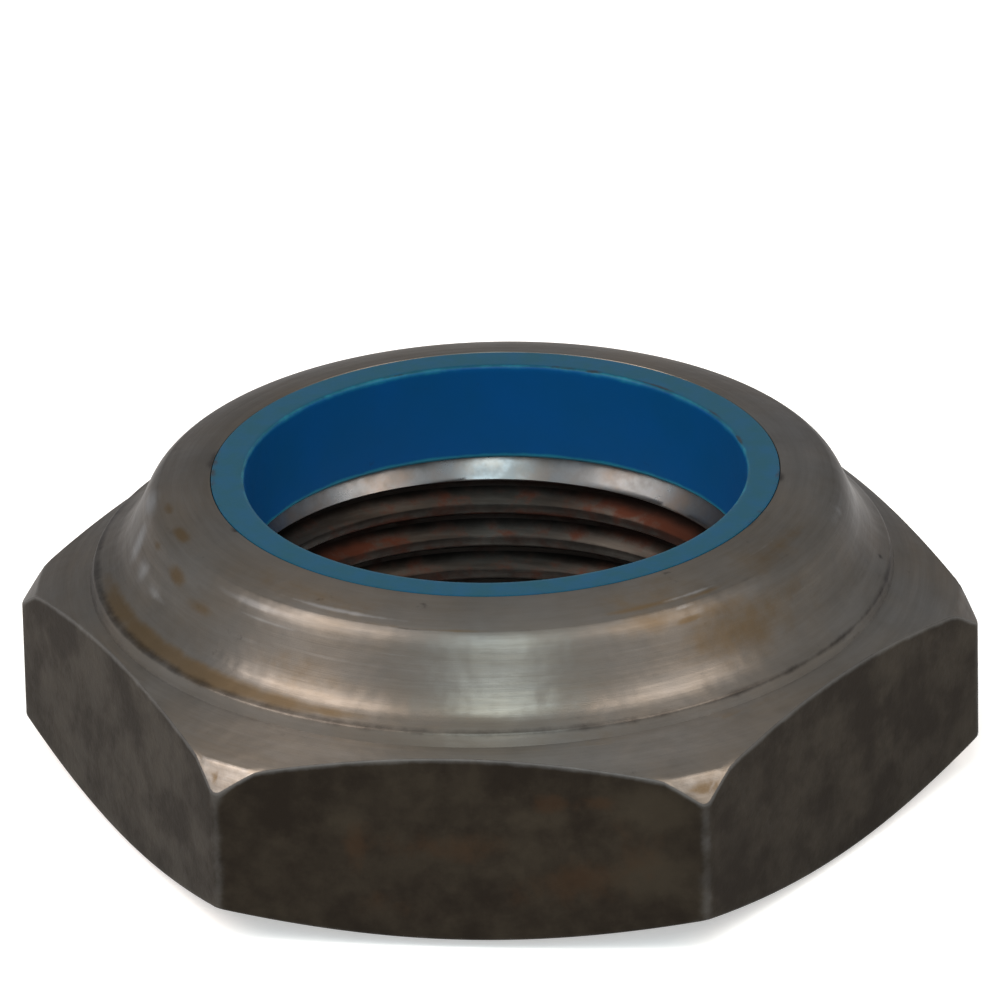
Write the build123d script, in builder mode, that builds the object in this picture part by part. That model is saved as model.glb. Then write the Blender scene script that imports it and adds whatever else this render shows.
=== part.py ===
import os
from math import radians, sqrt, tan

from build123d import *

# Self-locking hexagon nut: a turned steel body whose collar is rolled over a blue plastic locking ring.
# The origin is the middle of the bearing face, +Z runs up the bore, and one flat of the hexagon faces -Y.
# Lengths are millimetres, widths are radial, and angles are degrees from the horizontal.

# Hexagon and the cones that trim it
across_flats = 34.0
crown_height = 8.72
upright_edge_radius = 0.5
bearing_face_diameter = 32.0
lower_cone_angle = 23.5
crown_angle = 22.8
corner_cone_width = 0.83
corner_cone_angle = 54.0
waste_margin = 1.0

# Thread: the bore has the minor diameter of a 60 degree thread, and the helix is left to the surface model.
# An entry cone opens it at the bearing face, and a steep lead cone opens it at the ring's seat.
thread_diameter = 22.0
thread_pitch = 1.5
minor_drop_in_pitches = 1.0825
entry_width = 0.5
entry_angle = 45.0
lead_width = 0.62
lead_angle = 60.0

# Locking ring: its bore stands inside the thread by the grip, and its seat leaves a clearance round it
ring_grip = 0.8
ring_wall = 2.5
ring_height = 4.2
ring_top_wall = 1.3
ring_top_land = 0.45
ring_shoulder_height = 1.5
ring_foot_chamfer = 0.1
ring_mouth_chamfer = 0.15
ring_clearance = 0.05

# Collar, from its rolled rim down to the step on the hexagon's crown
rim_height = 13.0
rim_width = 2.17
rim_slope = 13.5
rim_nose_chamfer = 0.12
bead_width = 0.51
bead_foot_depth = 1.08
bead_bulge = 0.05
wall_batter = 1.29
wall_hollow = 0.12
wall_foot_radius = 0.35
wall_foot_rise = 0.38
ledge_width = 0.68
ledge_edge_chamfer = 0.1
step_height = 0.5
step_batter = 0.15


def cone_rise(width, angle):
    """Height that a cone of this slope gains over a radial width."""
    return width * tan(radians(angle))


# Radii run outwards from the thread: bore, ring, seat, rim, wall, ledge and step
bore_radius = (thread_diameter - minor_drop_in_pitches * thread_pitch) / 2
entry_radius = thread_diameter / 2 + entry_width
lead_radius = bore_radius + lead_width
ring_bore_radius = thread_diameter / 2 - ring_grip
ring_radius = ring_bore_radius + ring_wall
ring_top_radius = ring_bore_radius + ring_top_wall
seat_radius = ring_radius + ring_clearance
rim_bore_radius = ring_top_radius + ring_clearance
rim_edge_radius = rim_bore_radius + rim_width
bead_foot_radius = rim_edge_radius + bead_width
wall_radius = bead_foot_radius + wall_batter
ledge_radius = wall_radius + ledge_width
step_radius = ledge_radius + step_batter

# Heights of the ring run down from the rim, and heights of the ledge run up from the crown
seat_height = rim_height - ring_height
shoulder_top = rim_height - ring_top_land
shoulder_foot = shoulder_top - ring_shoulder_height
ledge_edge = (ledge_radius, crown_height + step_height)
wall_foot = (wall_radius, crown_height + step_height + wall_foot_rise)
bead_foot = (bead_foot_radius, rim_height - bead_foot_depth)
rim_edge = (rim_edge_radius, rim_height - cone_rise(rim_width, rim_slope))

# Each trimming cone starts at its radius and height and runs out past the hexagon's sharp corners
corner_radius = across_flats / sqrt(3)
corner_cone_radius = corner_radius - corner_cone_width
corner_cone_height = crown_height - cone_rise(corner_cone_radius - step_radius, crown_angle)
waste_radius = corner_radius + waste_margin
trimming_cones = [
    (bearing_face_diameter / 2, 0, lower_cone_angle),
    (step_radius, crown_height, -crown_angle),
    (corner_cone_radius, corner_cone_height, -corner_cone_angle),
]

# Nut body: a hexagon with turned cones on both faces, the collar on its crown, and the bore through both
with BuildPart() as nut_body:
    with BuildSketch() as hexagon:
        RegularPolygon(radius=across_flats / 2, side_count=6, major_radius=False)
        fillet(hexagon.vertices(), radius=upright_edge_radius)
    extrude(amount=crown_height)

    with BuildSketch(Plane.XZ):
        for radius, height, angle in trimming_cones:
            with BuildLine():
                Polyline(
                    (radius, height),
                    (waste_radius, height),
                    (waste_radius, height + cone_rise(waste_radius - radius, angle)),
                    close=True,
                )
            make_face()
    revolve(axis=Axis.Z, mode=Mode.SUBTRACT)

    with BuildSketch(Plane.XZ) as collar_section:
        with BuildLine():
            Polyline((0, rim_height), (0, crown_height), (step_radius, crown_height), ledge_edge, wall_foot)
            SagittaArc(wall_foot, bead_foot, -wall_hollow)
            SagittaArc(bead_foot, rim_edge, bead_bulge)
            Polyline(rim_edge, (rim_bore_radius, rim_height), (0, rim_height))
        make_face()
        fillet(collar_section.vertices().sort_by_distance(wall_foot)[0], radius=wall_foot_radius)
        chamfer(collar_section.vertices().sort_by_distance(ledge_edge)[0], length=ledge_edge_chamfer)
    revolve(axis=Axis.Z)

    with BuildSketch(Plane.XZ):
        with BuildLine():
            Polyline(
                (0, 0),
                (entry_radius, 0),
                (bore_radius, cone_rise(entry_radius - bore_radius, entry_angle)),
                (bore_radius, seat_height - cone_rise(lead_width, lead_angle)),
                (lead_radius, seat_height),
                (seat_radius, seat_height),
                (seat_radius, shoulder_foot),
                (rim_bore_radius, shoulder_top),
                (rim_bore_radius, rim_height - rim_nose_chamfer),
                (rim_bore_radius + rim_nose_chamfer, rim_height),
                (0, rim_height),
                close=True,
            )
        make_face()
    revolve(axis=Axis.Z, mode=Mode.SUBTRACT)
nut_body.part.label = "nut_body"

# Locking ring: it stands on the seat's floor, with its shoulder under the rolled rim
with BuildPart() as locking_ring:
    with BuildSketch(Plane.XZ) as ring_section:
        with BuildLine():
            Polyline(
                (ring_bore_radius, seat_height),
                (ring_radius, seat_height),
                (ring_radius, shoulder_foot),
                (ring_top_radius, shoulder_top),
                (ring_top_radius, rim_height),
                (ring_bore_radius, rim_height),
                close=True,
            )
        make_face()
        bore_corners = ring_section.vertices().group_by(Axis.X)[0].sort_by(Axis.Y)
        chamfer(bore_corners[0], length=ring_foot_chamfer)
        chamfer(bore_corners[-1], length=ring_mouth_chamfer)
    revolve(axis=Axis.Z)
locking_ring.part.label = "locking_ring"

os.makedirs("parts", exist_ok=True)
export_step(nut_body.part, "parts/nut_body.step")
export_step(locking_ring.part, "parts/locking_ring.step")
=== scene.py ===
from math import cos, pi, radians, sin, tan

import bpy
import numpy as np
from bpy.props import FloatProperty, FloatVectorProperty, PointerProperty
from mathutils import Matrix, Vector


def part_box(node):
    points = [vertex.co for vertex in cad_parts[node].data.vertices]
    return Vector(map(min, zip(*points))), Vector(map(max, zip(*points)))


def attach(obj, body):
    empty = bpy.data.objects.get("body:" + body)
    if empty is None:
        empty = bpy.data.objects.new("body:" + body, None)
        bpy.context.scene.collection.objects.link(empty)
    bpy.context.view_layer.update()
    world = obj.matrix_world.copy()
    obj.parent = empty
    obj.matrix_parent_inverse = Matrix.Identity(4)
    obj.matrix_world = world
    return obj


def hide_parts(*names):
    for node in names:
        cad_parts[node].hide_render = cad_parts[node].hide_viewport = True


bl_info = {
    "name": "Locking Nut Maker",
    "version": (1, 0, 0),
    "blender": (4, 5, 0),
    "location": "3D View > Sidebar > Locking Nut",
    "description": "Builds a worn steel locking nut with its cut thread and blue plastic ring",
    "category": "Object",
}

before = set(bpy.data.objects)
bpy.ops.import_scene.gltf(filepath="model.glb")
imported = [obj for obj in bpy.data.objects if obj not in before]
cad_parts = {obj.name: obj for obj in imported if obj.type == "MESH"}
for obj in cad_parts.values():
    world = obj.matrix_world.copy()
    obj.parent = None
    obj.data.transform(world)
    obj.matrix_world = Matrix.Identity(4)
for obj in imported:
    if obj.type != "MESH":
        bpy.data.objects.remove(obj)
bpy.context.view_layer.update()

MM = 0.001
BODY_LOW, BODY_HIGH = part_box("nut_body")
RING_LOW, RING_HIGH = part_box("locking_ring")


# Properties

def length(name, millimetres, description):
    """A length property, given in millimetres and kept in metres."""
    return FloatProperty(name=name, description=description, default=millimetres * MM, unit="LENGTH")


def slope(name, degrees, description):
    """An angle property, given in degrees and kept in radians."""
    return FloatProperty(name=name, description=description, default=radians(degrees), subtype="ANGLE")


def share(name, value, description):
    """A plain factor property."""
    return FloatProperty(name=name, description=description, default=value, min=0.0)


def colour(name, rgb, description):
    """A colour property in linear values."""
    return FloatVectorProperty(name=name, description=description, default=rgb, size=3, subtype="COLOR")


class BodySizes(bpy.types.PropertyGroup):
    """Sizes of the steel body: its hexagon, its collar and the ring's seat."""

    across_flats: length("Across flats", (BODY_HIGH.y - BODY_LOW.y) / MM, "Width across the hexagon's flats")
    upright_edge: length("Upright edge", 0.5, "Radius of the hexagon's upright edges")
    bearing_radius: length("Bearing face", 16.0, "Outer radius of the flat bearing face")
    lower_slope: slope("Lower cone", 23.5, "Slope of the cone round the bearing face")
    crown_height: length("Crown height", 8.72, "Height at which the crown meets the collar's step")
    crown_slope: slope("Crown cone", 22.8, "Slope of the crown")
    corner_cone_radius: length("Corner cone", 18.8, "Radius at which the corner facets start")
    corner_slope: slope("Corner slope", 54.0, "Slope of the corner facets")
    step_radius: length("Step", 16.35, "Radius of the collar's step at its foot")
    ledge_radius: length("Ledge", 16.2, "Radius of the ledge's outer edge")
    ledge_height: length("Ledge height", 9.22, "Height of the ledge's outer edge")
    ledge_offset: length("Ledge offset", 0.22, "How far the ledge was turned off the bore's axis")
    wall_foot_radius: length("Wall foot", 15.52, "Radius at which the collar's wall starts")
    wall_foot_height: length("Wall foot height", 9.6, "Height at which the collar's wall starts")
    wall_hollow: length("Wall hollow", 0.12, "Depth of the wall's hollow")
    bead_radius: length("Bead", 14.23, "Radius of the bead's foot")
    bead_height: length("Bead height", 11.92, "Height of the bead's foot")
    bead_bulge: length("Bead bulge", 0.05, "Height of the bead's bulge")
    rim_radius: length("Rim", 13.72, "Radius of the rolled rim's outer edge")
    rim_height: length("Rim height", 12.479, "Height of the rolled rim's outer edge")
    rim_crown: length("Rim crown", 0.07, "Height of the rolled rim's curve")
    nose_radius: length("Nose", 11.55, "Radius of the rolled rim's nose, round the ring")
    seat_radius: length("Seat", 12.75, "Radius of the ring's seat")
    shoulder_foot: length("Shoulder foot", 11.05, "Height at which the seat starts to close over the ring")
    shoulder_top: length("Shoulder top", 12.55, "Height at which the rim's own bore starts")


class ThreadSizes(bpy.types.PropertyGroup):
    """Sizes of the thread and of the cones that lead into it."""

    major_radius: length("Major radius", 11.0, "Radius of the thread's roots")
    pitch: length("Pitch", 1.5, "Rise of the helix in one turn")
    minor_radius: length("Minor radius", 10.188, "Radius of the thread's crests")
    entry_radius: length("Entry", 11.5, "Radius of the entry cone at the bearing face")
    lead_radius: length("Lead", 10.808, "Radius of the steep lead cone at the seat's floor")
    lead_foot: length("Lead foot", 7.726, "Height at which the lead cone reaches the crests")
    back_height: length("Helix height", 7.8, "Height of the first groove's upper edge behind the axis")
    crest_wear: share("Crest wear", 0.02, "Share of a pitch over which the crests are rounded")
    run_out: slope("Run-out", 28.0, "Part of a turn in which the last groove fades out of the lead cone")


class RingSizes(bpy.types.PropertyGroup):
    """Sizes of the plastic ring."""

    bore_radius: length("Bore", 10.2, "Radius of the ring's bore")
    top_radius: length("Top", 11.53, "Outer radius of the ring's visible top")
    shoulder_foot: length("Shoulder foot", 11.05, "Height at which the ring starts to narrow")
    shoulder_top: length("Shoulder top", 12.55, "Height at which the ring's upright top land starts")
    foot_chamfer: length("Foot chamfer", 0.1, "Chamfer at the foot of the bore")
    mouth_round: length("Mouth", 0.16, "Rounding at the mouth of the bore")


class Finishes(bpy.types.PropertyGroup):
    """Colours of the steel, its soiling and the plastic, some of which also paint shade and sheen."""

    steel: colour("Steel", (0.103, 0.1, 0.095), "Turned steel under a thin patina")
    dull_steel: colour("Dull steel", (0.068, 0.064, 0.058), "Turned steel where the patina is thicker")
    oily_steel: colour("Oily steel", (0.02, 0.016, 0.013), "Cut steel under dark oil")
    brown_steel: colour("Brown steel", (0.113, 0.091, 0.067), "Turned steel with a brown film")
    dust: colour("Dust", (0.15, 0.115, 0.09), "Pale dry dust on the thread's flanks")
    bare_steel: colour("Bare steel", (0.19, 0.19, 0.19), "Steel that wear has left bright")
    lead_steel: colour("Lead steel", (0.145, 0.157, 0.167), "Steel that the lead cone's last cut has left bright")
    scale: colour("Mill scale", (0.0108, 0.008, 0.0056), "Dark scale on the hexagon's flats")
    light_scale: colour("Worn scale", (0.032, 0.0256, 0.0176), "Scale that handling has rubbed thin")
    # This colour also paints a warm sheen on the collar where the side lamps' reflections fall
    stain_and_warm_sheen: colour("Stain", (0.082, 0.055, 0.026), "Dried oil, yellow brown")
    rust: colour("Rust", (0.054, 0.0145, 0.007), "Dark red brown rust")
    flat_rust: colour("Rust on the flats", (0.032, 0.0175, 0.009), "Thin brown rust on the dark scale")
    # This colour also paints shade in the gaps beside the ring and in the thread's roots
    grime_and_shade: colour("Grime", (0.012, 0.01, 0.009), "Dirt in corners and gaps")
    blue: colour("Plastic", (0.0008, 0.049, 0.168), "Blue plastic of the locking ring")
    # This colour also paints the sheen of the light from above on the ring's top
    dusty_sheen_blue: colour("Dusty plastic", (0.0015, 0.04, 0.065), "The plastic's top, dulled by a dusty film")
    pale_blue: colour("Pale plastic", (0.012, 0.15, 0.21), "Plastic that the cut at the ring's foot has left pale")


class StageSettings(bpy.types.PropertyGroup):
    """Camera, lamps and floor."""

    camera_turn: FloatProperty(
        name="Camera turn", description="Camera's turn about the nut's axis, from the front",
        default=radians(5.747), subtype="ANGLE")
    camera_rise: FloatProperty(
        name="Camera rise", description="Camera's elevation above the horizon",
        default=radians(25.48), subtype="ANGLE")
    camera_roll: FloatProperty(
        name="Camera roll", description="Camera's lean about its own line of sight",
        default=radians(-1.289), subtype="ANGLE")
    camera_distance: length("Camera distance", 532.4, "Distance from the camera to the point that it looks at")
    camera_lens: FloatProperty(
        name="Lens", description="Focal length on a 36 mm sensor, in millimetres", default=472.4, min=1.0)
    aim_side: length("Aim to the side", 0.17, "How far the camera aims to the right of the axis")
    aim_height: length("Aim height", 11.725, "Height that the camera aims at")
    floor_colour: colour("Floor", (0.8, 0.8, 0.8), "Pale floor")
    floor_lift: share("Floor lift", 0.45, "Light that the floor adds for the camera and for reflections")
    world_strength: share("World", 0.12, "Strength of the soft light from all round")


# Node trees

class Steps:
    """Adds nodes to one node tree and links them, so that a material reads as a list of steps."""

    def __init__(self, tree):
        self.tree = tree

    def connect(self, node, inputs):
        """Links a node's inputs to sockets, and sets those that are given as plain values."""
        for key, value in inputs.items():
            if isinstance(value, bpy.types.NodeSocket):
                self.tree.links.new(value, node.inputs[key])
            else:
                node.inputs[key].default_value = value

    def add(self, kind, inputs=None, out=0, **settings):
        """Adds a node, sets or links its inputs, and gives back one of its outputs."""
        node = self.tree.nodes.new(kind)
        for name, value in settings.items():
            setattr(node, name, value)
        self.connect(node, inputs or {})
        return node.outputs[out]

    def math(self, operation, first, second):
        return self.add("ShaderNodeMath", {0: first, 1: second}, operation=operation)

    def times(self, first, second):
        return self.math("MULTIPLY", first, second)

    def mix(self, factor, first, second):
        """Mixes two colours."""
        inputs = {0: factor, 6: opaque(first), 7: opaque(second)}
        return self.add("ShaderNodeMix", inputs, out=2, data_type="RGBA", clamp_factor=True)

    def coat(self, under, over, mask, strength):
        """Lays a colour over another one, as far as a mask and a strength let it."""
        return self.mix(self.times(mask, strength), under, over)

    def blend(self, factor, first, second):
        """Mixes two numbers."""
        return self.add("ShaderNodeMix", {0: factor, 2: first, 3: second}, clamp_factor=True)

    def ramp(self, value, low, high):
        """Maps low..high of a value smoothly to 0..1."""
        inputs = {"Value": value, "From Min": low, "From Max": high}
        return self.add("ShaderNodeMapRange", inputs, interpolation_type="SMOOTHSTEP")

    def noise(self, vector, scale, detail=4.0, roughness=0.55, seed=0.0):
        inputs = {"Vector": vector, "Scale": scale, "Detail": detail, "Roughness": roughness, "W": seed}
        return self.add("ShaderNodeTexNoise", inputs, noise_dimensions="4D")

    def bump(self, strength, distance, height, **below):
        """A bumpy normal from a height, which may lie on top of another one."""
        inputs = {"Strength": strength, "Distance": distance * MM, "Height": height, **below}
        return self.add("ShaderNodeBump", inputs)

    def attribute(self, name):
        return self.add("ShaderNodeAttribute", out="Fac", attribute_name=name)

    def group(self, name, inputs, out=0):
        """Places a shared effect with this material's own values."""
        return self.add("ShaderNodeGroup", inputs, out, node_tree=shared_group(name))

    def marks(self, rings, drift, out="Tone"):
        return self.group("tool_marks", {"Rings": rings, "Drift": drift}, out)

    def blotches(self, scale, amount, softness, seed):
        return self.group("blotches", {"Scale": scale, "Amount": amount, "Softness": softness, "Seed": seed})

    def patch(self, mask, scale, grain, seed):
        """One of the mesh's masks, broken up by grain."""
        paint = self.attribute(mask)
        return self.group("broken_patch", {"Paint": paint, "Scale": scale, "Grain": grain, "Seed": seed})


def opaque(value):
    """A colour with its alpha, or the socket that was given."""
    return value if isinstance(value, bpy.types.NodeSocket) else (*value[:3], 1.0)


def new_group(name, inputs, outputs):
    """A shader node group with float sockets: its steps, and its sockets on the way in and out."""
    tree = bpy.data.node_groups.new(name, "ShaderNodeTree")
    for label, default in inputs.items():
        tree.interface.new_socket(label, in_out="INPUT", socket_type="NodeSocketFloat").default_value = default
    for label in outputs:
        tree.interface.new_socket(label, in_out="OUTPUT", socket_type="NodeSocketFloat")
    return Steps(tree), tree.nodes.new("NodeGroupInput").outputs, tree.nodes.new("NodeGroupOutput")


def millimetre_place(steps):
    """The surface's place in millimetres."""
    place = steps.add("ShaderNodeTexCoord", out="Object")
    return steps.add("ShaderNodeVectorMath", {0: place, "Scale": 1 / MM}, operation="SCALE")


def make_tool_marks_group():
    """Fine rings left by turning: tone and height that change along the section and drift round it."""
    steps, entry, leave = new_group("tool_marks", {"Rings": 3.0, "Drift": 0.12}, ("Tone", "Height"))
    place = steps.tree.nodes.new("ShaderNodeSeparateXYZ")
    steps.connect(place, {0: millimetre_place(steps)})
    x, y, z = place.outputs
    across = steps.math("POWER", steps.math("ADD", steps.times(x, x), steps.times(y, y)), 0.5)
    ring = steps.times(steps.math("SUBTRACT", across, z), entry["Rings"])
    side, deep = steps.times(x, entry["Drift"]), steps.times(y, entry["Drift"])
    vector = steps.add("ShaderNodeCombineXYZ", {0: ring, 1: side, 2: deep})
    fine = steps.noise(vector, 1.0, detail=5.0, roughness=0.7)
    broad = steps.noise(vector, 0.22, detail=2.0, seed=3.0)
    steps.connect(leave, {"Tone": steps.ramp(steps.blend(0.5, fine, broad), 0.3, 0.7), "Height": fine})


def make_blotch_group():
    """Soft blotches: a mask that covers more of the surface as Amount rises."""
    steps, entry, leave = new_group(
        "blotches", {"Scale": 0.3, "Amount": 0.5, "Softness": 0.15, "Seed": 0.0}, ("Mask",))
    cloud = steps.noise(millimetre_place(steps), entry["Scale"], detail=6.0, roughness=0.6, seed=entry["Seed"])
    middle = steps.math("SUBTRACT", 0.85, steps.times(entry["Amount"], 0.7))
    low = steps.math("SUBTRACT", middle, entry["Softness"])
    high = steps.math("ADD", middle, entry["Softness"])
    steps.connect(leave, {"Mask": steps.ramp(cloud, low, high)})


def make_patch_group():
    """A painted mask broken up by grain, as dirt and rust lie on a surface."""
    steps, entry, leave = new_group(
        "broken_patch", {"Paint": 0.0, "Scale": 1.2, "Grain": 0.5, "Seed": 0.0}, ("Mask",))
    grain = steps.noise(millimetre_place(steps), entry["Scale"], detail=7.0, roughness=0.65, seed=entry["Seed"])
    worn = steps.times(steps.math("SUBTRACT", grain, 0.5), steps.times(entry["Grain"], 3.0))
    steps.connect(leave, {"Mask": steps.ramp(steps.math("ADD", entry["Paint"], worn), 0.25, 0.85)})


SHARED_EFFECTS = {
    "tool_marks": make_tool_marks_group,
    "blotches": make_blotch_group,
    "broken_patch": make_patch_group,
}


def shared_group(name):
    """An effect that several materials share, built the first time that it is asked for."""
    if name not in bpy.data.node_groups:
        SHARED_EFFECTS[name]()
    return bpy.data.node_groups[name]


def new_material(name, viewport_colour):
    """A material with its steps and its surface shader."""
    material = bpy.data.materials.new(name)
    material.use_nodes = True
    material.diffuse_color = opaque(viewport_colour)
    return material, Steps(material.node_tree), material.node_tree.nodes["Principled BSDF"]


def along_the_turning(steps):
    """The direction that runs round the nut's axis."""
    return steps.add("ShaderNodeTangent", direction_type="RADIAL", axis="Z")


# Materials

# Gloss that is drawn out across the tool marks, on all the turned and cut steel
TURNING_GRAIN = {"Anisotropic": 0.6, "Anisotropic Rotation": 0.25}


def make_turned_steel(finishes):
    """Worn turned steel of the collar, the crown, the corner facets, the lower cone and the bearing face."""
    material, steps, shader = new_material("turned_steel", finishes.steel)
    tone = steps.marks(rings=2.6, drift=0.1)
    streaks = steps.marks(rings=3.6, drift=0.45)
    height = steps.marks(rings=6.0, drift=0.06, out="Height")
    wobble = steps.noise(millimetre_place(steps), 0.55, detail=2.0, seed=9.0)
    brown = steps.blotches(scale=0.12, amount=0.5, softness=0.2, seed=6.0)
    dull = steps.blotches(scale=0.22, amount=0.5, softness=0.16, seed=1.0)
    specks = steps.blotches(scale=1.1, amount=0.22, softness=0.05, seed=4.0)
    # Yellow brown stains, with a painted warm sheen of the side lamps among the collar's spots
    stain_and_warm_sheen = steps.patch("stain_and_warm_sheen", scale=0.7, grain=0.32, seed=2.0)
    scuff = steps.patch("scuff", scale=1.4, grain=0.3, seed=5.0)
    # Dirt spots, dark lines along the collar's edges, and painted shade in the gap beside the ring
    grime_and_shade = steps.patch("dirt_and_painted_shade", scale=0.9, grain=0.35, seed=7.0)
    bare = steps.patch("bare", scale=0.6, grain=0.2, seed=8.0)
    tint = steps.mix(dull, finishes.steel, finishes.dull_steel)
    tint = steps.coat(tint, finishes.brown_steel, brown, 0.8)
    tint = steps.mix(bare, tint, finishes.bare_steel)
    tint = steps.coat(tint, finishes.dull_steel, tone, 0.6)
    tint = steps.coat(tint, finishes.bare_steel, streaks, 0.16)
    tint = steps.coat(tint, finishes.grime_and_shade, specks, 0.5)
    tint = steps.coat(tint, finishes.stain_and_warm_sheen, stain_and_warm_sheen, 0.75)
    tint = steps.coat(tint, finishes.bare_steel, scuff, 0.7)
    tint = steps.coat(tint, finishes.grime_and_shade, grime_and_shade, 0.75)
    rough = steps.blend(tone, steps.blend(streaks, 0.36, 0.28), 0.46)
    waves = steps.bump(strength=0.6, distance=0.1, height=wobble)
    steps.connect(shader, {
        "Base Color": tint,
        "Roughness": steps.blend(stain_and_warm_sheen, rough, 0.5),
        "Normal": steps.bump(strength=0.35, distance=0.02, height=height, Normal=waves),
        "Tangent": along_the_turning(steps),
        "Metallic": 1.0,
        "Specular Tint": (0.52, 0.52, 0.53, 1.0),
        **TURNING_GRAIN,
    })
    return material


def make_hexagon_scale(finishes):
    """Dark mottled scale of the hexagon's flats, rubbed lighter in patches and along the edges."""
    material, steps, shader = new_material("hexagon_scale", finishes.scale)
    mottle = steps.blotches(scale=0.5, amount=0.5, softness=0.14, seed=11.0)
    cloud = steps.blotches(scale=0.2, amount=0.5, softness=0.2, seed=12.0)
    fine = steps.blotches(scale=1.5, amount=0.45, softness=0.16, seed=16.0)
    rust = steps.patch("rust", scale=0.8, grain=0.5, seed=13.0)
    edge = steps.patch("edge", scale=1.2, grain=0.2, seed=14.0)
    wear = steps.patch("scuff", scale=0.6, grain=0.4, seed=17.0)
    pits = steps.noise(millimetre_place(steps), 3.5, detail=5.0, roughness=0.6, seed=15.0)
    tint = steps.coat(finishes.scale, finishes.light_scale, mottle, 0.6)
    tint = steps.coat(tint, finishes.scale, cloud, 0.4)
    tint = steps.coat(tint, finishes.scale, fine, 0.4)
    tint = steps.coat(tint, finishes.light_scale, wear, 0.6)
    tint = steps.coat(tint, finishes.flat_rust, rust, 0.55)
    tint = steps.coat(tint, finishes.bare_steel, edge, 0.32)
    steps.connect(shader, {
        "Base Color": tint,
        "Roughness": steps.blend(mottle, 0.6, 0.5),
        "Metallic": steps.blend(edge, 0.0, 0.5),
        "Normal": steps.bump(strength=0.4, distance=0.04, height=pits),
        "Specular IOR Level": 0.05,
    })
    return material


def make_thread_steel(finishes):
    """Cut steel of the thread: bright on the lead cone, dark with rust, dust, oil and painted shade below it."""
    material, steps, shader = new_material("thread_steel", finishes.dull_steel)
    tone = steps.marks(rings=4.0, drift=0.15)
    rust = steps.patch("rust", scale=1.1, grain=0.8, seed=21.0)
    # Painted shade that deepens toward the thread's roots, and darker crests
    grime_and_shade = steps.patch("dirt_and_painted_shade", scale=0.8, grain=0.3, seed=22.0)
    dust = steps.patch("scuff", scale=1.8, grain=0.35, seed=23.0)
    bright = steps.attribute("bare")
    worn = steps.blotches(scale=0.9, amount=0.5, softness=0.16, seed=24.0)
    pink = steps.blotches(scale=0.6, amount=0.45, softness=0.12, seed=25.0)
    tint = steps.mix(tone, finishes.dull_steel, finishes.oily_steel)
    tint = steps.mix(dust, tint, finishes.dust)
    tint = steps.coat(tint, finishes.rust, rust, 0.8)
    tint = steps.coat(tint, finishes.grime_and_shade, grime_and_shade, 0.85)
    lead = steps.coat(finishes.lead_steel, finishes.dull_steel, worn, 0.55)
    lead = steps.coat(lead, finishes.dust, pink, 0.5)
    steps.connect(shader, {
        "Base Color": steps.mix(bright, tint, lead),
        "Roughness": steps.blend(bright, steps.blend(rust, 0.4, 0.6), steps.blend(worn, 0.27, 0.4)),
        "Metallic": steps.blend(dust, 1.0, 0.5),
        "Tangent": along_the_turning(steps),
        **TURNING_GRAIN,
    })
    return material


def make_blue_plastic(finishes):
    """Satin blue plastic, with a dusty film on top that also paints the sheen of light from above, pale cut edges,
    and dirt and painted shade along its rim.
    """
    material, steps, shader = new_material("blue_plastic", finishes.blue)
    cloud = steps.blotches(scale=0.35, amount=0.5, softness=0.25, seed=31.0)
    worn = steps.blotches(scale=1.0, amount=0.45, softness=0.2, seed=35.0)
    # The ring's top takes a dusty colour that also paints the sheen of the light from above
    film_and_sheen = steps.patch("film_and_sheen", scale=0.7, grain=0.12, seed=32.0)
    # Dirt spots, and painted shade along the top's outer edge beside the steel
    dirt = steps.patch("dirt_and_painted_shade", scale=1.6, grain=0.7, seed=33.0)
    cut = steps.patch("cut", scale=1.2, grain=0.4, seed=36.0)
    grain = steps.noise(millimetre_place(steps), 5.0, seed=34.0)
    tint = steps.mix(film_and_sheen, finishes.blue, finishes.dusty_sheen_blue)
    tint = steps.coat(tint, finishes.blue, steps.times(worn, film_and_sheen), 0.3)
    tint = steps.coat(tint, finishes.pale_blue, cut, 0.8)
    tint = steps.coat(tint, finishes.dusty_sheen_blue, cloud, 0.25)
    tint = steps.coat(tint, finishes.grime_and_shade, dirt, 0.8)
    steps.connect(shader, {
        "Base Color": tint,
        "Roughness": steps.blend(film_and_sheen, 0.38, 0.5),
        "Normal": steps.bump(strength=0.2, distance=0.02, height=grain),
        "Specular IOR Level": 0.1,
    })
    return material


# Meshes

COLUMNS_PER_FLAT = 48
COLUMNS_PER_EDGE = 7
RING_COLUMNS = 300
CORNER_ROWS = 3

# Grid points that fall on the same step are one point
MERGE_STEP = 0.5 * MM * 0.001

# Slots of the steel body's materials
TURNED_SLOT, SCALE_SLOT, THREAD_SLOT = range(3)


def edge_circle(sizes):
    """The circle of an upright edge: its middle's distance from the axis, and half the angle that it takes up."""
    middle = (sizes.across_flats / 2 - sizes.upright_edge) / cos(pi / 6)
    reach = np.arctan2(sizes.upright_edge * sin(pi / 6), middle + sizes.upright_edge * cos(pi / 6))
    return middle, reach


def column_angles(sizes):
    """Angles of the mesh's columns: even along the flats, and close together round the upright edges."""
    _, reach = edge_circle(sizes)
    edge = np.linspace(-reach, reach, COLUMNS_PER_EDGE, endpoint=False)
    flat = np.linspace(reach, pi / 3 - reach, COLUMNS_PER_FLAT, endpoint=False)
    sextant = np.concatenate([edge, flat])
    return np.concatenate([sextant + turn * pi / 3 for turn in range(6)]) % (2 * pi)


def from_corner(angles):
    """Angle from the nearest upright edge."""
    return (angles + pi / 6) % (pi / 3) - pi / 6


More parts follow.
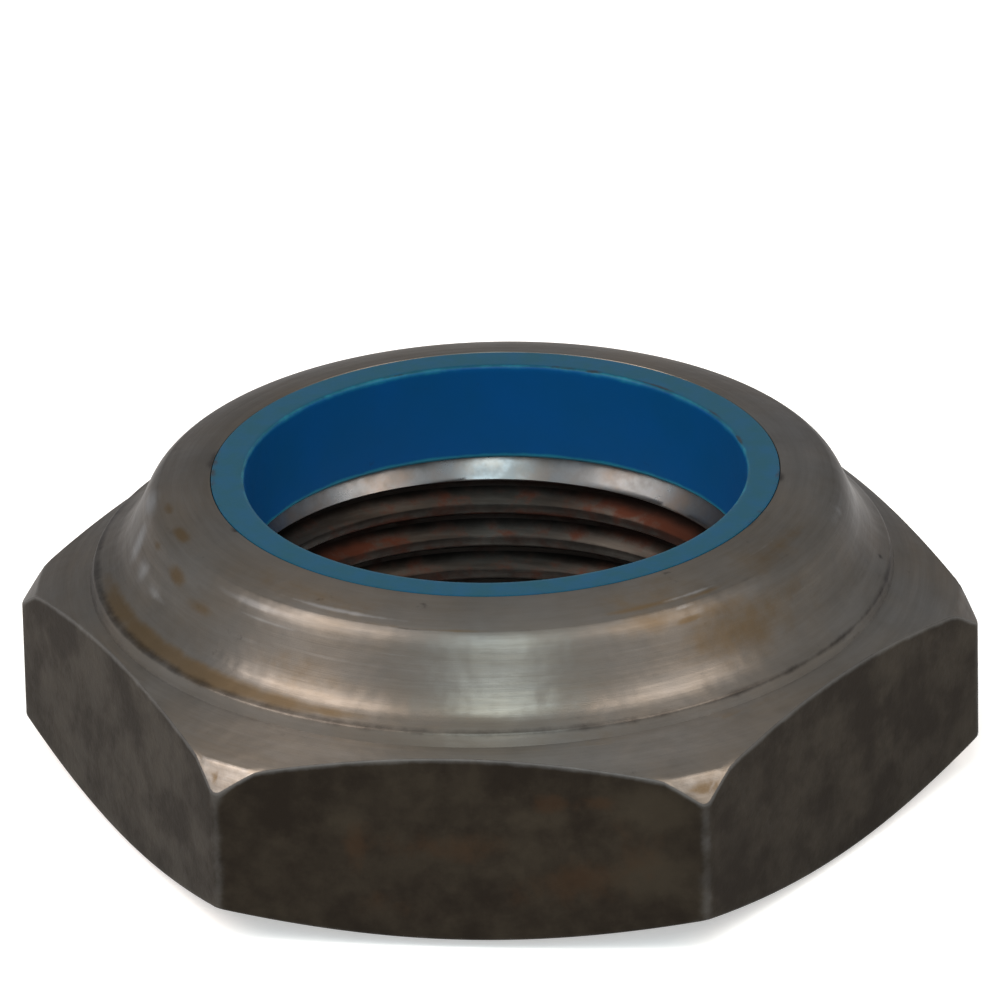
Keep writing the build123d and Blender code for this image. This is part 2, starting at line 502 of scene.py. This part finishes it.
def hexagon_radius(angles, sizes):
    """Distance from the axis to the hexagon's outline, with its rounded upright edges."""
    middle, reach = edge_circle(sizes)
    away = from_corner(angles)
    flat = sizes.across_flats / 2 / np.cos(pi / 6 - np.abs(away))
    near = np.clip(away, -reach, reach)
    round_edge = middle * np.cos(near) + np.sqrt(sizes.upright_edge ** 2 - (middle * np.sin(near)) ** 2)
    return np.where(np.abs(away) < reach, round_edge, flat)


def top_height(radius, sizes):
    """Height of the crown, or of the corner cone outside it, at a radius."""
    break_height = sizes.crown_height - (sizes.corner_cone_radius - sizes.step_radius) * tan(sizes.crown_slope)
    crown = sizes.crown_height - (radius - sizes.step_radius) * tan(sizes.crown_slope)
    corner = break_height - (radius - sizes.corner_cone_radius) * tan(sizes.corner_slope)
    return np.where(radius > sizes.corner_cone_radius, corner, crown)


def soft_section(stops):
    """Rows of (radius, height) through the stops, with every stop but the two ends rounded off.

    A stop is (radius, height, softness, rows, bow, lean). The radius and height may differ from column to
    column. The softness is the length that the rounding takes of the stretches on both sides. Rows, bow and
    lean belong to the stretch that leads to the stop: how far it bulges, and how much of that lies near its
    start. Also gives back each row's stop, counted from the first.
    """
    points = [np.stack(np.broadcast_arrays(radius, height), -1) for radius, height, *_ in stops]
    points = np.array(np.broadcast_arrays(*points))
    soft = [stop[2] for stop in stops]

    def along(index, share_of_way):
        """A place on the stretch that leads to a stop."""
        start, end = points[index - 1], points[index]
        line = end - start
        span = np.linalg.norm(line, axis=-1, keepdims=True)
        outward = np.stack([line[:, 1], -line[:, 0]], -1) / span
        bow, lean = (*stops[index][4:], 0.0)[:2]
        bow = bow * 4 * share_of_way * (1 - share_of_way) * (1 + lean * (1 - 2 * share_of_way))
        return start + line * share_of_way + outward * bow

    def part_of(index, distance):
        """What share of a stretch a distance is."""
        return distance / np.linalg.norm(points[index] - points[index - 1], axis=-1, keepdims=True)

    rows, owners = [points[0]], [0]
    for index in range(1, len(stops)):
        start = part_of(index, soft[index - 1])
        end = 1 - part_of(index, soft[index])
        count = stops[index][3]
        for step in range(1, count + 1):
            rows.append(along(index, start + (end - start) * step / count))
            owners.append(index - 0.5)
        if index + 1 < len(stops) and soft[index]:
            before = rows[-1]
            after = along(index + 1, part_of(index + 1, soft[index]))
            for step in range(1, CORNER_ROWS + 1):
                t = step / CORNER_ROWS
                rows.append(before * (1 - t) ** 2 + points[index] * 2 * t * (1 - t) + after * t ** 2)
                owners.append(index)
    return np.array(rows), np.array(owners)


# Width of the flat at the thread's roots, as a share of the pitch
ROOT_FLAT = 1 / 8


def flank_share(thread):
    """Width of one 60 degree flank, as a share of the pitch."""
    return (thread.major_radius - thread.minor_radius) * tan(pi / 6) / thread.pitch


def groove_height(angles, thread):
    """Height of the first groove's upper edge, which climbs by one pitch in a turn."""
    return thread.back_height + thread.pitch * (angles - pi / 2) / (2 * pi)


def thread_radius(angles, heights, thread):
    """Radius of the cut thread: a right-hand 60 degree form, open at the roots, with worn crests."""
    depth = thread.major_radius - thread.minor_radius
    flank = flank_share(thread)

    def groove(place):
        place = place % 1.0
        down = np.clip(place / flank, 0, 1)
        up = np.clip((2 * flank + ROOT_FLAT - place) / flank, 0, 1)
        return np.minimum(down, up)

    place = (groove_height(angles, thread) - heights) / thread.pitch
    worn = sum(groove(place + shift) for shift in (-thread.crest_wear, 0.0, thread.crest_wear)) / 3
    run_out = np.where(place < 0, np.clip(1 - angles / thread.run_out, 0, 1), 1)
    return thread.minor_radius + depth * worn * run_out


def bore_radius(angles, heights, thread, seat_height):
    """Radius of the bore: the thread, opened by the entry cone below and by the lead cone above."""
    entry = thread.entry_radius - heights
    lead_slope = (thread.lead_radius - thread.minor_radius) / (seat_height - thread.lead_foot)
    lead = thread.minor_radius + (heights - thread.lead_foot) * lead_slope
    return np.maximum(np.maximum(thread_radius(angles, heights, thread), entry), lead)


def fade(distance, width):
    """A mask that is 1 at no distance and fades out over a width."""
    return np.exp(-(distance / width) ** 2)


def plateau(values, low, high, softness):
    """A mask that is 1 between two values and fades out over a softness."""
    return np.clip((values - low) / softness + 0.5, 0, 1) * np.clip((high - values) / softness + 0.5, 0, 1)


def spots(angles, radii, heights, places):
    """Mask of soft spots, each given as (degrees, height, half width, half height, strength) in mm."""
    mask = np.zeros(np.broadcast(angles, radii, heights).shape)
    for degrees, height, half_width, half_height, strength in places:
        turn = (angles - radians(degrees) + pi) % (2 * pi) - pi
        mask = np.maximum(mask, strength * fade(turn * radii, half_width * MM)
                          * fade(heights - height * MM, half_height * MM))
    return mask


def build_mesh(name, vertices, faces, materials, face_materials, masks, sharp_angle):
    """A mesh object from vertex and face arrays, with its masks as point attributes."""
    mesh = bpy.data.meshes.new(name)
    mesh.from_pydata([tuple(v) for v in vertices], [], faces)
    for material in materials:
        mesh.materials.append(material)
    mesh.polygons.foreach_set("material_index", face_materials)
    mesh.polygons.foreach_set("use_smooth", [True] * len(faces))
    for mask_name, values in masks.items():
        layer = mesh.attributes.new(mask_name, "FLOAT", "POINT")
        layer.data.foreach_set("value", np.clip(values, 0, 1).astype(np.float32))
    mesh.set_sharp_from_angle(angle=sharp_angle)
    low, high = np.min(vertices, 0), np.max(vertices, 0)
    mesh.use_auto_texspace = False
    mesh.texspace_location = (0, 0, (low[2] + high[2]) / 2)
    mesh.texspace_size = [(high[0] - low[0]) / 2] * 3
    piece = bpy.data.objects.new(name, mesh)
    bpy.context.scene.collection.objects.link(piece)
    return piece


def merge_grid(places):
    """Joins grid points that lie together. Gives each point's new index, and the kept points' old indices."""
    keys = np.round(places / MERGE_STEP).astype(np.int64)
    _, first, joined = np.unique(keys, axis=0, return_index=True, return_inverse=True)
    return joined.reshape(-1), first


def grid_quads(rows, columns, joined, start=0, seam_shift=0):
    """Quads of a grid that closes round the axis, each with its row. At the seam the rows may be shifted."""
    for row in range(rows - 1):
        for column in range(columns):
            beside = (column + 1) % columns
            shift = seam_shift if beside == 0 else 0
            if row + 1 + shift < rows:
                corners = (row, column), (row + shift, beside), (row + 1 + shift, beside), (row + 1, column)
                yield row, [joined[start + r * columns + c] for r, c in corners]


def clean_faces(quads, tags):
    """Faces with their repeated corners dropped, without those that have shrunk to a line."""
    faces, kept = [], []
    for quad, tag in zip(quads, tags):
        face = [corner for place, corner in enumerate(quad) if corner != quad[place - 1]]
        if len(set(face)) == len(face) > 2:
            faces.append(face)
            kept.append(tag)
    return faces, kept


def polar(angles, radii, heights):
    """Points in space for angles, radii and heights."""
    angles, radii, heights = np.broadcast_arrays(angles, radii, heights)
    return np.stack([radii * np.cos(angles), radii * np.sin(angles), heights], -1)


# Soft spots on the steel, as (degrees round the axis, height, half width, half height, strength), in millimetres
# Nine of the collar's spots are a painted warm sheen where the side lamps' reflections fall, not stains: (-58, 12.2),
# (-72, 8.4), (-48, 8.4), (-116, 10.4), (-116, 8.3), (-118, 12.75), (-56, 12.75), (-70, 9.0) and (-110, 8.6); the one
# at (-58, 12.2) also holds a real brown line
COLLAR_STAINS_AND_WARM_SHEEN = [
    (-158, 9.42, 3.2, 0.26, 0.95), (-146, 9.42, 4.2, 0.26, 1.0), (-132, 9.4, 4.2, 0.24, 1.0),
    (-119, 9.4, 3.0, 0.2, 0.8), (-110, 9.42, 2.5, 0.14, 0.7), (-155, 12.58, 1.0, 0.1, 1.0),
    (-148, 11.7, 0.9, 0.4, 0.9), (-140, 11.2, 1.4, 0.35, 0.6), (-166, 12.6, 0.7, 0.08, 0.7),
    (-158, 11.9, 0.6, 0.2, 0.6), (-58, 12.2, 3.6, 0.6, 0.56), (-42, 11.0, 5.0, 1.5, 0.62),
    (-72, 8.4, 6.0, 0.5, 0.5), (-48, 8.4, 5.0, 0.5, 0.5), (-30, 12.6, 4.0, 0.4, 0.45),
    (-116, 10.4, 4.0, 1.0, 0.46), (-116, 8.3, 5.0, 0.5, 0.48), (-118, 12.75, 5.0, 0.3, 0.5),
    (-56, 12.75, 4.0, 0.3, 0.52), (-58, 12.62, 2.2, 0.06, 0.9), (-47, 12.55, 1.4, 0.05, 0.7),
    (-52, 12.0, 0.9, 0.15, 0.9), (-45, 12.0, 2.2, 0.5, 0.6), (-33, 11.4, 3.2, 1.0, 0.5),
    (-24, 12.65, 2.5, 0.12, 0.6), (-70, 9.0, 5.0, 0.2, 0.4), (-110, 8.6, 4.0, 0.3, 0.4),
    (-95, 12.5, 4.0, 0.05, 0.6),
]
CORNER_STAINS = [(-59.5, 7.2, 0.8, 0.2, 1.0), (-120.6, 7.2, 0.13, 0.25, 1.0), (-120.1, 6.95, 0.2, 0.1, 0.5)]
# Bright marks on the collar: the four spots from -172 to -153 degrees are worn metal; the six thin lines at -128,
# -124, -100, -112, -125 and -60 degrees are painted bright along the turning
BRIGHT_MARKS = [
    (-172, 12.2, 1.6, 0.4, 0.8), (-167, 11.1, 0.8, 1.0, 0.9), (-160, 10.7, 0.8, 0.6, 0.7),
    (-153, 10.6, 1.2, 0.4, 0.5), (-128, 12.2, 2.4, 0.15, 0.7), (-124, 11.8, 2.0, 0.08, 0.7),
    (-100, 11.6, 1.6, 0.06, 0.5), (-112, 11.1, 4.0, 0.1, 0.5), (-125, 10.9, 4.0, 0.08, 0.5),
    (-60, 11.4, 3.0, 0.12, 0.4),
]
SCUFFS = [
    (-50, 12.6, 1.6, 0.03, 0.9), (-52, 12.42, 0.5, 0.08, 0.8), (-30, 12.75, 2.0, 0.03, 0.5),
    (-112, 12.62, 3.0, 0.04, 0.9), (-5, 12.2, 1.5, 0.3, 0.5), (-167, 11.2, 0.6, 0.7, 0.8),
    (-159, 10.8, 0.5, 0.5, 0.7), (-171, 12.3, 0.9, 0.2, 0.8), (-152, 10.5, 1.0, 0.2, 0.6),
]
GRIME = [
    (-182, 13.0, 1.2, 0.04, 0.7), (-149, 13.0, 0.3, 0.03, 0.8), (-22, 13.0, 0.7, 0.03, 0.7),
    (0, 13.0, 0.7, 0.03, 0.7), (-50, 12.42, 0.12, 0.05, 1.0), (0, 9.55, 0.2, 0.1, 0.8),
    (-99, 12.47, 1.0, 0.03, 0.6), (-88, 12.47, 0.7, 0.03, 0.5),
]
FLAT_WEAR = [
    (-66, 6.4, 2.0, 1.3, 1.0), (-66, 3.4, 1.8, 1.6, 0.9), (-80, 5.8, 2.4, 0.8, 0.7),
    (-84, 4.5, 7.0, 3.0, 0.5), (-105, 5.5, 1.5, 1.5, 0.6),
]
FLAT_RUST = [
    (-91, 4.6, 2.6, 0.8, 0.7), (-78, 6.6, 0.8, 0.5, 1.0), (-72, 6.7, 0.7, 0.4, 0.9), (-75, 3.2, 3.0, 1.4, 0.7),
    (-104, 4.4, 0.6, 1.6, 0.8), (-82, 2.2, 2.0, 0.8, 0.5), (-100, 2.0, 1.5, 1.0, 0.5), (-67, 4.5, 1.2, 1.4, 0.6),
]
THREAD_RUST = [
    (52, 7.2, 2.2, 0.35, 1.0), (60, 7.0, 3.0, 0.3, 0.9), (45, 6.8, 3.0, 0.6, 1.0), (40, 7.4, 2.0, 0.4, 1.0),
    (87, 7.35, 1.4, 0.12, 1.0), (85, 6.1, 1.2, 0.3, 0.9), (123, 6.2, 2.2, 0.3, 1.0), (56, 5.95, 1.2, 0.3, 1.0),
    (64, 5.7, 1.2, 0.3, 0.9), (130, 5.6, 2.0, 0.4, 0.6), (98, 6.1, 1.0, 0.15, 1.0),
]

# Which way the ledge was turned off the axis, and how much it dips for each length that it reaches out
LEDGE_LEAN = radians(-165)
LEDGE_DIP = 0.3

# Least width of the crown's outermost rows, where the hexagon doesn't reach the corner cone
LEAST_FACET = 0.2 * MM

# Turns of the helix that have rows: they reach past both ends of the bore
TURNS = np.arange(-1, 7)

# The hexagon's lower and upper edges, counted among the section's stops
LOWER_EDGE, UPPER_EDGE = 2, 3

# Above this height, the outside is crown or facet wherever it lies inside the hexagon's outline
CROWN_FLOOR = 5.5 * MM


def make_steel_body(sizes, thread, finishes):
    """The whole steel body as one closed skin: outside, rolled rim, ring's seat and cut thread."""
    angles = column_angles(sizes)
    count = len(angles)
    reach = hexagon_radius(angles, sizes)
    seat_height = RING_LOW.z
    swing = sizes.ledge_offset * np.cos(angles - LEDGE_LEAN)
    cone_break = np.minimum(sizes.corner_cone_radius, reach - LEAST_FACET)
    lower_edge = (reach - sizes.bearing_radius) * tan(sizes.lower_slope)
    step = sizes.step_radius + swing
    stops = [
        (thread.entry_radius, 0.0, 0.0, 0, 0.0),
        (sizes.bearing_radius, 0.0, 0.12 * MM, 6, 0.0),
        (reach, lower_edge, 0.14 * MM, 5, 0.0),
        (reach, top_height(reach, sizes), 0.07 * MM, 28, 0.0),
        (cone_break, top_height(cone_break, sizes), 0.1 * MM, 4, 0.0),
        (step, top_height(step, sizes), 0.0, 10, 0.0),
        (sizes.ledge_radius + swing, sizes.ledge_height - swing * LEDGE_DIP, 0.06 * MM, 2, 0.0),
        (sizes.wall_foot_radius, sizes.wall_foot_height, 0.27 * MM, 5, 0.0),
        (sizes.bead_radius, sizes.bead_height, 0.15 * MM, 22, -sizes.wall_hollow, 0.7),
        (sizes.rim_radius, sizes.rim_height, 0.04 * MM, 6, sizes.bead_bulge),
        (sizes.nose_radius, RING_HIGH.z, 0.06 * MM, 12, sizes.rim_crown),
        (sizes.nose_radius, sizes.shoulder_top, 0.05 * MM, 2, 0.0),
        (sizes.seat_radius, sizes.shoulder_foot, 0.05 * MM, 2, 0.0),
        (sizes.seat_radius, seat_height, 0.05 * MM, 2, 0.0),
        (bore_radius(angles, np.full(count, seat_height), thread, seat_height), seat_height, 0.0, 3, 0.0),
    ]
    rows, owners = soft_section(stops)
    outside = polar(angles[None], rows[:, :, 0], rows[:, :, 1])

    # Thread rows follow the helix, and those past either end of the bore gather on its edge
    flank = flank_share(thread)
    upper_flank, root = [0.0, 0.03, 0.11, 0.21], [flank, 0.375]
    lower_flank, crest = [flank + ROOT_FLAT, 0.53, 0.62, 0.7], [2 * flank + ROOT_FLAT, 0.78, 0.86, 0.94]
    form = upper_flank + root + lower_flank + crest
    places = np.concatenate([form + turn for turn in TURNS[:, None]] + [[TURNS[-1] + 1.0]])
    heights = np.clip(groove_height(angles, thread)[None] - places[:, None] * thread.pitch, 0.0, seat_height)
    inside = polar(angles[None], bore_radius(angles[None], heights, thread, seat_height), heights)

    points = np.concatenate([outside.reshape(-1, 3), inside.reshape(-1, 3)])
    joined, first = merge_grid(points)
    inside_start = len(rows) * count
    quads, tags = [], []
    for row, quad in grid_quads(len(rows), count, joined):
        quads.append(quad)
        tags.append(SCALE_SLOT if LOWER_EDGE <= (owners[row] + owners[row + 1]) / 2 <= UPPER_EDGE else TURNED_SLOT)
    for _, quad in grid_quads(len(places), count, joined, inside_start, len(form)):
        quads.append(quad)
        tags.append(THREAD_SLOT)
    faces, tags = clean_faces(quads, tags)
    kept = points[first]
    masks = steel_masks(kept, first >= inside_start, sizes, thread)
    materials = [make_turned_steel(finishes), make_hexagon_scale(finishes), make_thread_steel(finishes)]
    return build_mesh("worn_steel_body", kept, faces, materials, tags, masks, radians(35))


def steel_masks(points, in_bore, sizes, thread):
    """Where the steel is worn, stained, rusty, dirty or bright, and where shade and a warm sheen are painted, as a
    mask for each.
    """
    angle = np.arctan2(points[:, 1], points[:, 0])
    radius = np.hypot(points[:, 0], points[:, 1])
    height = points[:, 2]
    reach = hexagon_radius(angle, sizes)
    on_top = ~in_bore & (height > CROWN_FLOOR) & (radius < reach - 0.02 * MM)
    on_flat = ~in_bore & ~on_top
    facet = (radius > sizes.corner_cone_radius - 0.05 * MM) & on_top
    collar = on_top & (radius < sizes.step_radius + 0.3 * MM)
    from_upright = np.abs(from_corner(angle)) * reach
    from_upper = np.abs(height - top_height(reach, sizes))
    above_lower = height - (reach - sizes.bearing_radius) * tan(sizes.lower_slope)
    depth = (radius - thread.minor_radius) / (thread.major_radius - thread.minor_radius)
    lower_flank = plateau((groove_height(angle, thread) - height) / thread.pitch % 1, 0.5, 0.8, 0.08)
    above_lead_foot = height - thread.lead_foot + 0.12 * MM - depth * 0.6 * MM

    def within(area, places):
        """Soft spots that stay inside an area."""
        return np.where(area, spots(angle, radius, height, places), 0)

    return {
        "edge": np.where(on_flat, np.maximum.reduce([
            0.5 * fade(from_upright, 0.4 * MM) * (above_lower > -0.1 * MM),
            0.8 * fade(from_upper, 0.12 * MM),
            0.4 * fade(above_lower, 0.16 * MM),
        ]), 0.8 * fade(reach - radius, 0.12 * MM)),
        # The corner facets are painted lighter in the quarter from -180 to -90 degrees (0.45) than elsewhere (0.36)
        "scuff": np.where(facet, np.where(angle > radians(-90), 0.36, 0.45), 0) + within(on_top & ~facet, SCUFFS)
        + within(on_flat, FLAT_WEAR) + np.where(in_bore, lower_flank * 0.15, 0),
        # Stains, and a painted warm sheen in nine of the collar's spots
        "stain_and_warm_sheen": within(collar, COLLAR_STAINS_AND_WARM_SHEEN) + within(facet, CORNER_STAINS),
        "rust": within(on_flat, FLAT_RUST) + np.where(in_bore, 0.35 + spots(angle, radius, height, THREAD_RUST), 0),
        # Listed dirt spots and dark lines along the ledge's edge, the wall's foot and the rim's edge; painted shade
        # in the gap beside the ring; in the bore, painted shade that deepens toward the thread's roots, and darker
        # crests
        "dirt_and_painted_shade": np.where(collar, np.maximum.reduce([
            0.62 * fade(height - sizes.ledge_height, 0.13 * MM),
            0.3 * fade(height - sizes.wall_foot_height + 0.1 * MM, 0.1 * MM),
            0.3 * fade(height - sizes.rim_height, 0.05 * MM),
            0.3 * fade(radius - sizes.nose_radius, 0.08 * MM),
            spots(angle, radius, height, GRIME),
        ]), 0) + np.where(in_bore, np.maximum(depth * 0.85, 0.6 * fade(depth, 0.12)), 0),
        "bare": np.where(in_bore, np.clip(above_lead_foot / (0.15 * MM), 0, 1), 0) + within(collar, BRIGHT_MARKS),
    }


# Dirt on the ring's top, as (degrees round the axis, radius, half width, half width across, strength), in millimetres
RING_DIRT = [
    (80, 10.3, 0.8, 0.06, 1.0), (72, 10.3, 0.5, 0.08, 1.0), (55, 10.35, 1.2, 0.06, 0.9), (90, 10.3, 2.5, 0.05, 0.7),
    (118, 10.3, 0.6, 0.06, 0.9), (20, 10.3, 0.6, 0.08, 1.0), (-178, 11.45, 2.0, 0.08, 1.0),
    (-150, 11.45, 0.4, 0.06, 1.0), (-22, 11.45, 1.0, 0.06, 0.9), (2, 11.45, 1.2, 0.08, 0.9),
    (35, 10.35, 0.8, 0.05, 0.7),
]

# Height of each of the two waves that take the ring's bore out of round
RING_WAVE = 0.012 * MM


def make_locking_ring(ring, finishes):
    """The plastic ring as one closed skin, with its rounded mouth, its soiled edges and painted shade along its top's
    outer edge.
    """
    angles = np.linspace(0, 2 * pi, RING_COLUMNS, endpoint=False)
    zero = np.zeros(len(angles))
    low, high, outer = RING_LOW.z, RING_HIGH.z, RING_HIGH.x
    wave = RING_WAVE * (np.sin(3 * angles + 1) + np.sin(7 * angles))
    stops = [
        (ring.bore_radius + ring.foot_chamfer + zero, low, 0.0, 0, 0.0),
        (outer, low, 0.05 * MM, 3, 0.0),
        (outer, ring.shoulder_foot, 0.05 * MM, 2, 0.0),
        (ring.top_radius, ring.shoulder_top, 0.05 * MM, 2, 0.0),
        (ring.top_radius, high, 0.03 * MM, 3, 0.0),
        (ring.bore_radius + wave, high, ring.mouth_round, 10, 0.0),
        (ring.bore_radius + wave * 0.5, low + ring.foot_chamfer, 0.05 * MM, 24, 0.0),
        (ring.bore_radius + ring.foot_chamfer, low, 0.0, 3, 0.0),
    ]
    rows, _ = soft_section(stops)
    points = polar(angles[None], rows[:, :, 0], rows[:, :, 1]).reshape(-1, 3)
    joined, first = merge_grid(points)
    quads = [quad for _, quad in grid_quads(len(rows), RING_COLUMNS, joined)]
    faces, tags = clean_faces(quads, [0] * len(quads))
    kept = points[first]
    radius = np.hypot(kept[:, 0], kept[:, 1])
    height = kept[:, 2]
    angle = np.arctan2(kept[:, 1], kept[:, 0])
    on_top = np.clip((height - high + 0.1 * MM) / (0.08 * MM), 0, 1)
    masks = {
        # The top: dust, with a painted sheen of the light from above
        "film_and_sheen": on_top,
        "cut": fade(height - low - 0.08 * MM, 0.14 * MM) * (radius < ring.bore_radius + 0.15 * MM)
        + 0.5 * fade(radius - ring.bore_radius - 0.05 * MM, 0.1 * MM) * (height > high - 0.25 * MM),
        # Painted shade along the top's outer edge, where it meets the steel, and listed dirt spots
        "dirt_and_painted_shade": on_top * np.maximum(0.2 * fade(radius - ring.top_radius, 0.08 * MM),
                                      spots(angle, radius, radius, RING_DIRT)),
    }
    return build_mesh("blue_locking_ring", kept, faces, [make_blue_plastic(finishes)], tags, masks, radians(40))


# Stage

WHITE = (1.0, 1.0, 1.0, 1.0)


def direction(turn, rise):
    """The way that leads out from the nut at a turn from its front and a rise above the horizon."""
    return Vector((sin(turn) * cos(rise), -cos(turn) * cos(rise), sin(rise)))


def view_axes(stage):
    """Level, right, up and back directions of the camera."""
    turn, rise, roll = stage.camera_turn, stage.camera_rise, stage.camera_roll
    back = direction(turn, rise)
    level = Vector((cos(turn), sin(turn), 0.0))
    upright = back.cross(level)
    right = level * cos(roll) + upright * sin(roll)
    up = upright * cos(roll) - level * sin(roll)
    return level, right, up, back


def make_camera(stage):
    """The camera at the photographed angle."""
    level, right, up, back = view_axes(stage)
    data = bpy.data.cameras.new("stage_camera")
    data.sensor_width = 36.0
    data.lens = stage.camera_lens
    data.clip_start = 0.01
    data.clip_end = 10.0
    camera = bpy.data.objects.new("stage_camera", data)
    aim = level * stage.aim_side + Vector((0, 0, stage.aim_height))
    camera.matrix_world = Matrix.Translation(aim + back * stage.camera_distance) @ Matrix(
        (right, up, back)).transposed().to_4x4()
    bpy.context.scene.collection.objects.link(camera)
    bpy.context.scene.camera = camera


# Name, turn from the camera's side and rise in degrees, width and height as seen from the nut in degrees,
# radiance and tint
LAMPS = (
    ("front_lamp", 0, 45, 24, 43, 9.3, (0.79, 0.96, 1.0)),
    ("left_lamp", -71, 48, 43, 36, 9.4, (1.0, 0.87, 0.785)),
    ("right_lamp", 64, 48, 35, 36, 7.2, (1.0, 0.86, 0.75)),
)
LAMP_DISTANCE = 0.6
LAMP_AIM = Vector((0, 0, 0.01))


def make_lamp(stage, name, turn, rise, width, height, radiance, tint):
    """A soft rectangular lamp that faces the nut from a direction given from the camera's own."""
    data = bpy.data.lights.new(name, "AREA")
    data.shape = "RECTANGLE"
    data.size = 2 * LAMP_DISTANCE * tan(radians(width * cos(radians(rise)) / 2))
    data.size_y = 2 * LAMP_DISTANCE * tan(radians(height / 2))
    data.energy = radiance * pi * data.size * data.size_y
    data.color = tint
    lamp = bpy.data.objects.new(name, data)
    way = direction(stage.camera_turn + radians(turn), radians(rise))
    lamp.location = LAMP_AIM + way * LAMP_DISTANCE
    lamp.rotation_mode = "QUATERNION"
    lamp.rotation_quaternion = way.to_track_quat("Z", "Y")
    bpy.context.scene.collection.objects.link(lamp)


def background_mask(steps):
    """1 for rays that see the background straight, in a gloss or through glass, and 0 for soft light."""
    path = steps.tree.nodes.new("ShaderNodeLightPath").outputs
    seen = steps.math("MAXIMUM", path["Is Camera Ray"], path["Is Glossy Ray"])
    return steps.math("MAXIMUM", seen, path["Is Transmission Ray"])


def make_world(stage):
    """Soft white light from all round."""
    world = bpy.data.worlds.new("soft_room")
    world.use_nodes = True
    steps = Steps(world.node_tree)
    strength = steps.blend(background_mask(steps), stage.world_strength, 1.0)
    steps.connect(world.node_tree.nodes["Background"], {"Color": WHITE, "Strength": strength})
    bpy.context.scene.world = world


FLOOR_HALF_WIDTH = 2.0
FLOOR_DROP = 0.02 * MM


def make_floor(stage):
    """A wide pale floor that keeps the nut's shadow, just clear of the bearing face."""
    half = FLOOR_HALF_WIDTH
    mesh = bpy.data.meshes.new("pale_floor")
    mesh.from_pydata([(-half, -half, 0), (half, -half, 0), (half, half, 0), (-half, half, 0)], [], [(0, 1, 2, 3)])
    floor = bpy.data.objects.new("pale_floor", mesh)
    floor.location.z = -FLOOR_DROP
    material, steps, shader = new_material("pale_floor", stage.floor_colour)
    steps.connect(shader, {
        "Base Color": opaque(stage.floor_colour),
        "Roughness": 0.9,
        "Specular IOR Level": 0.1,
        "Emission Color": WHITE,
        "Emission Strength": steps.times(background_mask(steps), stage.floor_lift),
    })
    mesh.materials.append(material)
    bpy.context.scene.collection.objects.link(floor)


# Operators

class NUT_OT_steel_body(bpy.types.Operator):
    """Build the worn steel body with its thread"""

    bl_idname = "object.nut_steel_body"
    bl_label = "Steel Body"

    def execute(self, context):
        scene = context.scene
        body = make_steel_body(scene.nut_body, scene.nut_thread, scene.nut_finishes)
        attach(body, "root")
        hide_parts("nut_body")
        return {"FINISHED"}


class NUT_OT_locking_ring(bpy.types.Operator):
    """Build the blue plastic locking ring"""

    bl_idname = "object.nut_locking_ring"
    bl_label = "Locking Ring"

    def execute(self, context):
        ring = make_locking_ring(context.scene.nut_ring, context.scene.nut_finishes)
        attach(ring, "root")
        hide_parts("locking_ring")
        return {"FINISHED"}


class NUT_OT_stage(bpy.types.Operator):
    """Set up the camera, the lamps and the pale floor"""

    bl_idname = "scene.nut_stage"
    bl_label = "Stage"

    def execute(self, context):
        stage = context.scene.nut_stage
        make_camera(stage)
        make_world(stage)
        make_floor(stage)
        for lamp in LAMPS:
            make_lamp(stage, *lamp)
        context.scene.view_settings.view_transform = "Standard"
        return {"FINISHED"}


class NUT_PT_panel(bpy.types.Panel):
    """Lists the steps that build the nut and its stage"""

    bl_label = "Locking Nut"
    bl_idname = "NUT_PT_panel"
    bl_space_type = "VIEW_3D"
    bl_region_type = "UI"
    bl_category = "Locking Nut"

    def draw(self, context):
        layout = self.layout
        for operator in OPERATORS:
            layout.operator(operator.bl_idname)
        for name in SETTINGS:
            box = layout.box()
            group = getattr(context.scene, name)
            for field in group.bl_rna.properties.keys()[BUILT_IN_FIELDS:]:
                box.prop(group, field)


# Fields that Blender gives every property group before its own ones
BUILT_IN_FIELDS = 2

OPERATORS = (NUT_OT_steel_body, NUT_OT_locking_ring, NUT_OT_stage)
SETTINGS = {
    "nut_body": BodySizes,
    "nut_thread": ThreadSizes,
    "nut_ring": RingSizes,
    "nut_finishes": Finishes,
    "nut_stage": StageSettings,
}


def register():
    for group in SETTINGS.values():
        bpy.utils.register_class(group)
    for name, group in SETTINGS.items():
        setattr(bpy.types.Scene, name, PointerProperty(type=group))
    for operator in OPERATORS:
        bpy.utils.register_class(operator)
    bpy.utils.register_class(NUT_PT_panel)


def unregister():
    bpy.utils.unregister_class(NUT_PT_panel)
    for operator in reversed(OPERATORS):
        bpy.utils.unregister_class(operator)
    for name in SETTINGS:
        delattr(bpy.types.Scene, name)
    for group in reversed(SETTINGS.values()):
        bpy.utils.unregister_class(group)


def main():
    register()
    bpy.ops.object.nut_steel_body()
    bpy.ops.object.nut_locking_ring()
    bpy.ops.scene.nut_stage()


if __name__ == "__main__":
    main()
